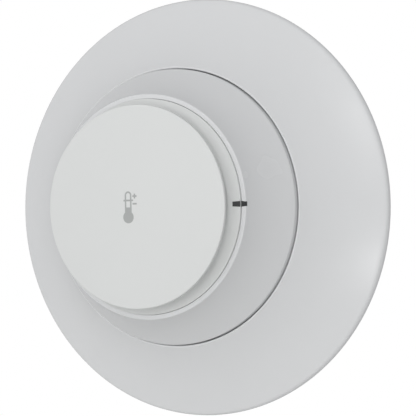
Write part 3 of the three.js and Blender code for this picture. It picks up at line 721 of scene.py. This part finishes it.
def frame_surface(cover):
    """The rim's rounding and the flare from there to the opening, as (radius, height) points."""
    steps = 8
    turns = [(math.pi / 2 - cover.rim_slope) * k / steps for k in range(steps + 1)]
    middle_radius = FRAME_RADIUS - cover.rim_round
    rim = [
        (middle_radius + cover.rim_round * math.cos(a), cover.rim_land + cover.rim_round * math.sin(a))
        for a in turns
    ]
    opening = PLATE_RADIUS + cover.plate_gap
    return rim, sloped_curve(rim[-1], cover.rim_slope, (opening, FRAME_EDGE), cover.edge_slope, 28)


def plate_surface(cover):
    start = (PLATE_RADIUS, FRAME_EDGE + cover.plate_step)
    end = (cover.neck_radius, LIP_HEIGHT)
    return sloped_curve(start, cover.plate_slope, end, cover.neck_slope, 24)


def frame_ribs(surface, cover, wall_inside):
    """The ribs below the frame, their upper edges let into its wall."""
    foot, thickness = cover.rib_foot, cover.rib_thickness
    inside = wall_inside - cover.wall / 2
    top = shifted(surface, cover.wall / 2)
    outline = [(inside, foot), (radius_at(top, foot), foot)]
    outline += [p for p in top if p[0] > inside and p[1] > foot]
    outline.append((inside, height_at(top, inside)))
    points = [(r, -h, -thickness / 2) for r, h in outline]
    rib = prism("rib", points, (0, 0, thickness))
    turns = [Matrix.Rotation(math.tau * (k + 0.5) / RIB_COUNT, 4, "Y") for k in range(RIB_COUNT)]
    ribs = [placed_copy(rib, f"rib_{k}", turn) for k, turn in enumerate(turns)]
    bpy.data.objects.remove(rib)
    return joined("frame_ribs", ribs)


class THERMOSTAT_OT_cover_frame(bpy.types.Operator):
    """Turn the flared cover frame that lies against the wall"""

    bl_idname = "thermostat.cover_frame"
    bl_label = "Cover frame"

    def execute(self, context):
        cover, _ = sizes()
        rim, surface = frame_surface(cover)
        under = shifted(surface, cover.wall)
        opening = surface[-1][0]
        wall_inside = opening + cover.wall
        shelf_inside = PLATE_RADIUS - 1.5 * cover.wall
        shelf_bottom = SHELF_TOP - cover.wall
        corners = [
            (FRAME_RADIUS, 0, cover.rim_back),
            *rim,
            *surface[1:-1],
            (*surface[-1], cover.edge_round),
            (opening, SHELF_TOP),
            (shelf_inside, SHELF_TOP, SOFT),
            (shelf_inside, shelf_bottom, SOFT),
            (wall_inside, shelf_bottom, WIDE),
            (wall_inside, height_at(under, wall_inside)),
            *[p for p in reversed(under) if p[0] > wall_inside + 2 * CRISP and p[1] > WIDE],
            (under[0][0], 0, CRISP),
        ]
        shell = turned("frame_shell", rounded(corners), steps=FINE_STEPS)
        combine(shell, frame_ribs(surface, cover, wall_inside), "UNION")
        close_up(shell)
        finish_piece(shell, "wall_unit", shell_material(), "shell", "cover_frame")
        return {"FINISHED"}


def well_openings(cover, below, floor):
    """The two screw holes and the three air slots in the well's floor."""
    low, high = below - MM, floor + MM
    tools = []
    for screw in ("cover_screw_1", "cover_screw_2"):
        x = middle(screw).x
        tools.append(peg("hole", cover.screw_hole, (x, -low, 0), (x, -high, 0)))
    for k in (-1, 0, 1):
        slot = bar_points(k * cover.slot_pitch, -cover.slot_drop, cover.slot_width, cover.slot_length)
        tools.append(plug("slot", rounded([(*corner, cover.slot_round) for corner in slot]), low, high))
    return joined("openings", tools)


class THERMOSTAT_OT_centre_plate(bpy.types.Operator):
    """Turn the flared centre plate with the lip and the well for the knob"""

    bl_idname = "thermostat.centre_plate"
    bl_label = "Centre plate"

    def execute(self, context):
        cover, _ = sizes()
        surface = plate_surface(cover)
        under = shifted(surface, cover.wall)
        well = cover.neck_radius - cover.lip_width
        floor = LIP_HEIGHT - cover.well_depth
        hole = cover.shaft_hole
        below = floor - cover.wall
        wall_inside = PLATE_RADIUS - cover.wall
        foot = SHELF_TOP + SEAT_GAP
        corners = [
            (PLATE_RADIUS, foot, CRISP),
            (*surface[0], cover.edge_round),
            *surface[1:-1],
            (*surface[-1], cover.lip_round),
            (well, LIP_HEIGHT, 0.75 * cover.lip_round),
            (well, floor, WIDE),
            (hole, floor, 2 * CRISP),
            (hole, below, 2 * CRISP),
            (radius_at(under, below), below),
            *[p for p in reversed(under) if p[1] < below - 2 * CRISP and p[0] < wall_inside],
            (wall_inside, height_at(under + [(PLATE_RADIUS, 0)], wall_inside)),
            (wall_inside, foot, CRISP),
        ]
        shell = turned("plate_shell", rounded(corners), steps=FINE_STEPS)
        combine(shell, well_openings(cover, below, floor), "DIFFERENCE")
        close_up(shell)
        finish_piece(shell, "wall_unit", shell_material(), "shell", "centre_plate")
        return {"FINISHED"}


def skirt_radius(cover, knob):
    return cover.neck_radius - cover.lip_width - knob.groove


def cove_surface(cover, knob):
    waist = CAP_RADIUS - knob.overhang
    start = (waist, KNOB_TOP - knob.cap_thickness)
    end = (skirt_radius(cover, knob), LIP_HEIGHT + knob.step)
    return sloped_curve(start, -knob.waist_slope, end, -knob.edge_slope, 24)


class THERMOSTAT_OT_knob(bpy.types.Operator):
    """Turn the setting knob: its face cap and its coved skirt with the hub"""

    bl_idname = "thermostat.knob"
    bl_label = "Setting knob"

    def execute(self, context):
        cover, knob = sizes()
        finish = plastic("white_knob", context.scene.thermostat_colours.knob, 0.36)
        under = KNOB_TOP - knob.cap_thickness
        waist = CAP_RADIUS - knob.overhang
        wall = knob.wall
        spigot = waist - knob.spigot_inset
        face = [
            (0, under),
            (spigot - wall, under),
            (spigot - wall, SPIGOT_BOTTOM, CRISP),
            (spigot, SPIGOT_BOTTOM, CRISP),
            (spigot, under),
            (CAP_RADIUS, under, 1.2 * CRISP),
            (CAP_RADIUS, KNOB_TOP, knob.cap_round),
            (0, KNOB_TOP),
        ]
        cap = turned("knob_face", rounded(face), steps=FINE_STEPS)
        finish_piece(cap, "knob", finish, "knob", "knob_cap")
        cove = cove_surface(cover, knob)
        skirt_edge = skirt_radius(cover, knob)
        edge = LIP_HEIGHT + knob.step
        web = edge - 2 * wall
        skirt_bottom = edge - knob.skirt_depth
        section = [
            (knob.bore, HUB_BOTTOM, SOFT),
            (knob.hub, HUB_BOTTOM, SOFT),
            (knob.hub, web, 4 * CRISP),
            (skirt_edge - wall, web),
            (skirt_edge - wall, skirt_bottom),
            (skirt_edge, skirt_bottom, SOFT),
            (*cove[-1], CRISP / 2),
            *reversed(cove[:-1]),
            (waist - wall, under),
            (waist - wall, web + wall),
            (knob.bore, web + wall),
        ]
        skirt = turned("knob_cove", rounded(section), steps=FINE_STEPS)
        finish_piece(skirt, "knob", finish, "knob", "knob_skirt")
        return {"FINISHED"}


class THERMOSTAT_OT_marks(bpy.types.Operator):
    """Lay the two dark setting marks into the lip and the knob's skirt"""

    bl_idname = "thermostat.marks"
    bl_label = "Setting marks"

    def execute(self, context):
        cover, knob = sizes()
        finish = plastic("dark_mark", context.scene.thermostat_colours.mark, 0.5)
        turn = Matrix.Rotation(-knob.tilt, 4, "Y")
        surface = plate_surface(cover)
        well = cover.neck_radius - cover.lip_width
        start, fold = LIP_HEIGHT - 3 * CRISP, LIP_HEIGHT - 5 * CRISP
        lip_path = [
            (radius_at(surface, start), start),
            (cover.neck_radius, LIP_HEIGHT - CRISP),
            (cover.neck_radius - 1.2 * CRISP, LIP_HEIGHT),
            (well, LIP_HEIGHT),
            (well, fold),
        ]
        raised = shifted(lip_path, -knob.mark_proud)
        wide, narrow = knob.mark_width, knob.mark_width * 0.8
        lip_widths = [0.95 * narrow, narrow, narrow, wide, wide]
        lip_mark = strip("lip_mark", raised, lip_widths, knob.mark_depth)
        lip_mark.data.transform(turn)
        finish_piece(lip_mark, "wall_unit", finish, "mark", "index_mark")
        cove = cove_surface(cover, knob)
        skirt_edge = skirt_radius(cover, knob)
        start = skirt_edge - knob.skirt_mark
        skirt_path = [(start, height_at(cove, start))] + [p for p in cove if start < p[0]]
        raised = shifted(skirt_path, knob.mark_proud)
        last = len(raised) - 1
        widths = [narrow + (wide - narrow) * i / last for i in range(last + 1)]
        skirt_mark = strip("skirt_mark", raised, widths, knob.mark_depth)
        skirt_mark.data.transform(turn)
        finish_piece(skirt_mark, "knob", finish, "mark", "pointer_mark")
        return {"FINISHED"}


def arc_points(x, z, radius, start, sweep, steps=24):
    """Points of an arc about (x, z), with its angles in degrees."""
    angles = [math.radians(start + sweep * k / steps) for k in range(steps + 1)]
    return [(x + radius * math.cos(a), z + radius * math.sin(a)) for a in angles]


def bar_points(x, z, width, height):
    return [
        (x - width / 2, z - height / 2),
        (x + width / 2, z - height / 2),
        (x + width / 2, z + height / 2),
        (x - width / 2, z + height / 2),
    ]


class THERMOSTAT_OT_symbol(bpy.types.Operator):
    """Print the thermometer with its plus and minus on the knob's face"""

    bl_idname = "thermostat.symbol"
    bl_label = "Printed symbol"

    def execute(self, context):
        _, knob = sizes()
        line, bulb, half = knob.line, knob.bulb_radius, knob.tube_width / 2
        x, z = -knob.bulb_left, -knob.bulb_drop
        top = z + knob.tube_height - half
        bar = z + knob.bar_rise
        liquid = z + knob.liquid_rise
        low, high = KNOB_TOP, KNOB_TOP + knob.print_depth
        meet = math.degrees(math.acos(half / bulb))
        outline = [
            *arc_points(x, z, bulb, 180 - meet, 180 + 2 * meet, 48),
            (x + half, bar - line / 2),
            (x + half + knob.bar_right, bar - line / 2),
            (x + half + knob.bar_right, bar + line / 2),
            (x + half, bar + line / 2),
            *arc_points(x, top, half, 0, 180),
            (x - half, bar + line / 2),
            (x - half - knob.bar_left, bar + line / 2),
            (x - half - knob.bar_left, bar - line / 2),
            (x - half, bar - line / 2),
        ]
        inner = half - line
        upper = [
            (x - inner, bar + line / 2),
            (x + inner, bar + line / 2),
            *arc_points(x, top, inner, 0, 180),
        ]
        lower_height = bar - line / 2 - liquid
        lower = bar_points(x, liquid + lower_height / 2, 2 * inner, lower_height)
        thermometer = plug("printed_symbol", outline, low, high)
        holes = [plug("hole", hole, low - MM, high + MM) for hole in (upper, lower)]
        combine(thermometer, joined("holes", holes), "DIFFERENCE")
        arm, side, sign_x = knob.sign_arm, line / 2, knob.sign_right
        quarter = [(arm, -side), (arm, side), (side, side)]
        plus_z = z + knob.plus_rise
        plus = []
        for c, d in ((1, 0), (0, 1), (-1, 0), (0, -1)):
            plus += [(sign_x + c * px - d * pz, plus_z + d * px + c * pz) for px, pz in quarter]
        minus = bar_points(sign_x, z + knob.minus_rise, 2 * arm, line)
        signs = [plug("sign", sign, low, high) for sign in (plus, minus)]
        symbol = close_up(joined("printed_symbol", [thermometer, *signs]))
        symbol.data.transform(Matrix.Rotation(-knob.tilt, 4, "Y"))
        finish = plastic("grey_print", context.scene.thermostat_colours.symbol, 0.55, mottle=0.06)
        finish_piece(symbol, "knob", finish, "mark")
        return {"FINISHED"}


def curved_slot(insert, quarter):
    """A slot that follows the ring, with round ends."""
    sweep, end = math.degrees(insert.slot_sweep) / 2, insert.slot_width / 2
    middle_radius, half = insert.slot_circle, insert.slot_sweep / 2
    tip = (middle_radius * math.cos(half), middle_radius * math.sin(half))
    outline = [
        *arc_points(0, 0, middle_radius + end, -sweep, 2 * sweep, 16),
        *arc_points(*tip, end, sweep, 180, 12)[1:-1],
        *arc_points(0, 0, middle_radius - end, sweep, -2 * sweep, 16),
        *arc_points(tip[0], -tip[1], end, 180 - sweep, 180, 12)[1:-1],
    ]
    slot = plug("slot", outline, -MM, 2 * MM)
    slot.data.transform(Matrix.Rotation(quarter * math.pi / 2, 4, "Y"))
    return slot


class THERMOSTAT_OT_support_ring(bpy.types.Operator):
    """Cut the steel support ring with its curved slots"""

    bl_idname = "thermostat.support_ring"
    bl_label = "Support ring"

    def execute(self, context):
        insert = context.scene.thermostat_insert
        low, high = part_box("support_ring")
        top, outside, edge = -low[1], high[0], insert.soft_edge
        corners = [(insert.ring_hole, 0), (outside, 0), (outside, top), (insert.ring_hole, top)]
        ring = turned("support_ring_plate", rounded([(*corner, edge) for corner in corners], 3), steps=160)
        tools = [curved_slot(insert, quarter) for quarter in range(4)]
        for k in NUMBERS:
            x, _, z = middle(f"housing_screw_{k}")
            tools.append(peg("hole", insert.ring_screw, (x, MM, z), (x, -2 * MM, z)))
        combine(ring, joined("openings", tools), "DIFFERENCE")
        close_up(ring)
        finish_piece(ring, "wall_unit", steel(), "steel", "support_ring")
        return {"FINISHED"}


def funnel(hole, start, end):
    """A cone that widens a hole towards the outside of the case."""
    return peg("funnel", hole - 2 * CRISP, start, end, hole + 14 * CRISP)


class THERMOSTAT_OT_rear_case(bpy.types.Operator):
    """Mould the rear case with its wire holes, driver holes and screw pillars"""

    bl_idname = "thermostat.rear_case"
    bl_label = "Rear case"

    def execute(self, context):
        insert = context.scene.thermostat_insert
        low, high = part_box("housing_rear")
        half, front, back = high[0], low[1], high[1]
        wall = insert.case_wall
        square = bar_points(0, 0, 2 * half, 2 * half)
        outline = rounded([(*corner, insert.case_corner) for corner in square], 14)
        case = plug("rear_case", outline, -back, -front)
        bpy.ops.object.mode_set(mode="EDIT")
        pick_edges(case, lambda a, b: min(a.y, b.y) > back - NEAR)
        bpy.ops.mesh.bevel(offset=insert.case_edge, segments=5)
        pick(case, lambda p: p.y < front + NEAR)
        bpy.ops.mesh.inset(thickness=wall)
        bpy.ops.mesh.extrude_region_move(TRANSFORM_OT_translate={"value": (0, back - front - wall, 0)})
        tidy_shell()
        bpy.ops.object.mode_set(mode="OBJECT")

        pillars = []
        for k in NUMBERS:
            x, _, z = middle(f"housing_screw_{k}")
            pillars.append(peg("pillar", insert.pillar, (x, back - wall / 2, z), (x, front, z)))
        combine(case, joined("pillars", pillars), "UNION")

        holes, funnels = [], []
        for k in NUMBERS:
            x, _, z = middle(f"housing_screw_{k}")
            start, end = (x, front + insert.bore_depth, z), (x, front - MM, z)
            holes.append(peg("hole", insert.pillar_bore, start, end))
            x, _, z = middle(f"terminal_screw_{k}")
            holes.append(peg("hole", insert.driver_hole, (x, back - wall - MM, z), (x, back + MM, z)))
            start, end = (x, back - insert.funnel, z), (x, back + MM, z)
            funnels.append(funnel(insert.driver_hole, start, end))
            clamp_low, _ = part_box(f"terminal_clamp_{k}")
            y = clamp_low[1] + insert.wire_hole + insert.wire_rise
            holes.append(peg("hole", insert.wire_hole, (x, y, -MM - half), (x, y, wall + MM - half)))
            start, end = (x, y, insert.funnel - half), (x, y, -MM - half)
            funnels.append(funnel(insert.wire_hole, start, end))
        panel = bar_points(0, insert.panel_rise, insert.panel_width, insert.panel_height)
        panel_outline = rounded([(*corner, insert.panel_round) for corner in panel], 8)
        holes.append(plug("panel", panel_outline, -back - MM, -back + insert.flute))
        reach, end = insert.flute_radius, insert.flute_end
        for side in (-1, 1):
            for k in range(FLUTE_COUNT):
                x = side * (half + reach - insert.flute)
                z = (k - (FLUTE_COUNT - 1) / 2) * insert.flute_pitch
                holes.append(peg("flute", reach, (x, front + end, z), (x, back - end, z)))
        combine(case, joined("holes", holes), "DIFFERENCE")
        combine(case, joined("funnels", funnels), "DIFFERENCE")
        close_up(case)
        finish_piece(case, "wall_unit", moulded("base"), "base", "housing_rear")
        return {"FINISHED"}


class THERMOSTAT_OT_small_pieces(bpy.types.Operator):
    """Round the edges of the pieces inside the insert and give them their finishes"""

    bl_idname = "thermostat.small_pieces"
    bl_label = "Small pieces"

    def execute(self, context):
        insert = context.scene.thermostat_insert
        bodies = {"potentiometer_shaft": "knob"}
        replaced = {
            "cover_frame",
            "centre_plate",
            "knob_cap",
            "knob_skirt",
            "index_mark",
            "pointer_mark",
            "support_ring",
            "housing_rear",
        }
        for entry in frame["record"]["subparts"]:
            name, slot = entry["node"], entry["material_slot"]
            NODES[name].data.materials.clear()
            NODES[name].data.materials.append(moulded(slot))
            if name in replaced:
                continue
            made = softened(name, name + "_finished", insert.soft_edge)
            finish_piece(made, bodies.get(name, "wall_unit"), moulded(slot), slot, name)
        return {"FINISHED"}


def floor_material():
    """Pale card that looks lighter to the camera than the light it throws on the object."""
    made = plastic("pale_floor", (0.86, 0.86, 0.85, 1), 0.7)
    nodes, links = made.node_tree.nodes, made.node_tree.links
    shader = nodes["Principled BSDF"]
    path = nodes.new("ShaderNodeLightPath")
    glow = maths(nodes, "MULTIPLY", path.outputs["Is Camera Ray"], 0.38)
    links.new(glow, shader.inputs["Emission Strength"])
    return made


def direction(azimuth, elevation):
    """From the object towards a place in front of it."""
    level = math.cos(elevation)
    return (math.sin(azimuth) * level, -math.cos(azimuth) * level, math.sin(elevation))


class THERMOSTAT_OT_studio(bpy.types.Operator):
    """Set up the pale floor, the soft light and the camera"""

    bl_idname = "thermostat.studio"
    bl_label = "Studio"

    def execute(self, context):
        scene = context.scene
        studio = scene.thermostat_studio
        scene.view_settings.view_transform = "Standard"
        floor = begin(
            "floor",
            bpy.ops.mesh.primitive_circle_add,
            vertices=96,
            radius=1.0,
            fill_type="NGON",
            location=(0, 0, -studio.floor_drop),
        )
        bpy.ops.mesh.inset(thickness=0.05)
        close(floor)
        floor.data.materials.append(floor_material())

        world = bpy.data.worlds.new("studio_sky")
        scene.world = world
        world.use_nodes = True
        nodes, links = world.node_tree.nodes, world.node_tree.links
        nodes.clear()
        path = nodes.new("ShaderNodeLightPath")
        backdrop = node(nodes, "Background", Color=(1, 1, 1, 1), Strength=1.0)
        ambient = node(nodes, "Background", Color=(0.98, 0.99, 1.0, 1), Strength=studio.ambient)
        mix = nodes.new("ShaderNodeMixShader")
        out = nodes.new("ShaderNodeOutputWorld")
        links.new(path.outputs["Is Camera Ray"], mix.inputs["Fac"])
        links.new(ambient.outputs[0], mix.inputs[1])
        links.new(backdrop.outputs[0], mix.inputs[2])
        links.new(mix.outputs[0], out.inputs["Surface"])

        def softbox(name, azimuth, elevation, distance, width, height, power):
            place = Vector(direction(math.radians(azimuth), math.radians(elevation))) * distance
            bpy.ops.object.select_all(action="DESELECT")
            bpy.ops.object.light_add(type="AREA", location=place)
            light = bpy.context.object
            light.name = name
            light.data.shape = "RECTANGLE"
            light.data.size = width
            light.data.size_y = height
            light.data.energy = power
            light.rotation_euler = (-place).to_track_quat("-Z", "Y").to_euler()

        softbox("key_light", -12, 17, distance=1.1, width=1.3, height=1.2, power=studio.key)
        softbox("upper_light", 21, 18, distance=1.2, width=0.12, height=0.42, power=studio.small)
        softbox("lower_light", 24, -15, distance=1.2, width=0.16, height=0.16, power=studio.small)

        azimuth, elevation = studio.azimuth, studio.elevation
        towards = Vector(direction(azimuth, elevation))
        right = Vector((math.cos(azimuth), math.sin(azimuth), 0))
        up = right.cross(-towards)
        rim_centre = Vector((0, -MM, 0))
        offset = towards * studio.distance + right * studio.right - up * studio.down
        eye = rim_centre + offset * FRAME_RADIUS
        bpy.ops.object.camera_add(location=eye, rotation=(-towards).to_track_quat("-Z", "Y").to_euler())
        camera = bpy.context.object
        camera.name = "camera"
        camera.data.lens = studio.lens
        camera.data.clip_start = 0.01
        scene.camera = camera
        return {"FINISHED"}


OPERATORS = (
    THERMOSTAT_OT_cover_frame,
    THERMOSTAT_OT_centre_plate,
    THERMOSTAT_OT_knob,
    THERMOSTAT_OT_marks,
    THERMOSTAT_OT_symbol,
    THERMOSTAT_OT_support_ring,
    THERMOSTAT_OT_rear_case,
    THERMOSTAT_OT_small_pieces,
    THERMOSTAT_OT_studio,
)


class THERMOSTAT_PT_panel(bpy.types.Panel):
    """Lists the thermostat's operators and sizes"""

    bl_idname = "THERMOSTAT_PT_panel"
    bl_label = "Thermostat"
    bl_space_type = "VIEW_3D"
    bl_region_type = "UI"
    bl_category = "Thermostat"

    def draw(self, context):
        for operator in OPERATORS:
            self.layout.operator(operator.bl_idname)
        scene = context.scene
        for holder in (scene.thermostat_covers, scene.thermostat_knob, scene.thermostat_insert):
            for name in holder.bl_rna.properties.keys():
                if name not in {"rna_type", "name"}:
                    self.layout.prop(holder, name)


GROUPS = {
    "thermostat_covers": CoverSizes,
    "thermostat_knob": KnobSizes,
    "thermostat_insert": InsertSizes,
    "thermostat_colours": Colours,
    "thermostat_studio": Studio,
}
CLASSES = (*GROUPS.values(), *OPERATORS, THERMOSTAT_PT_panel)


def register():
    for cls in CLASSES:
        bpy.utils.register_class(cls)
    for name, group in GROUPS.items():
        setattr(bpy.types.Scene, name, bpy.props.PointerProperty(type=group))


def unregister():
    for name in GROUPS:
        delattr(bpy.types.Scene, name)
    for cls in reversed(CLASSES):
        bpy.utils.unregister_class(cls)


def main():
    register()
    for operator in OPERATORS:
        group, name = operator.bl_idname.split(".")
        getattr(getattr(bpy.ops, group), name)()


if __name__ == "__main__":
    main()
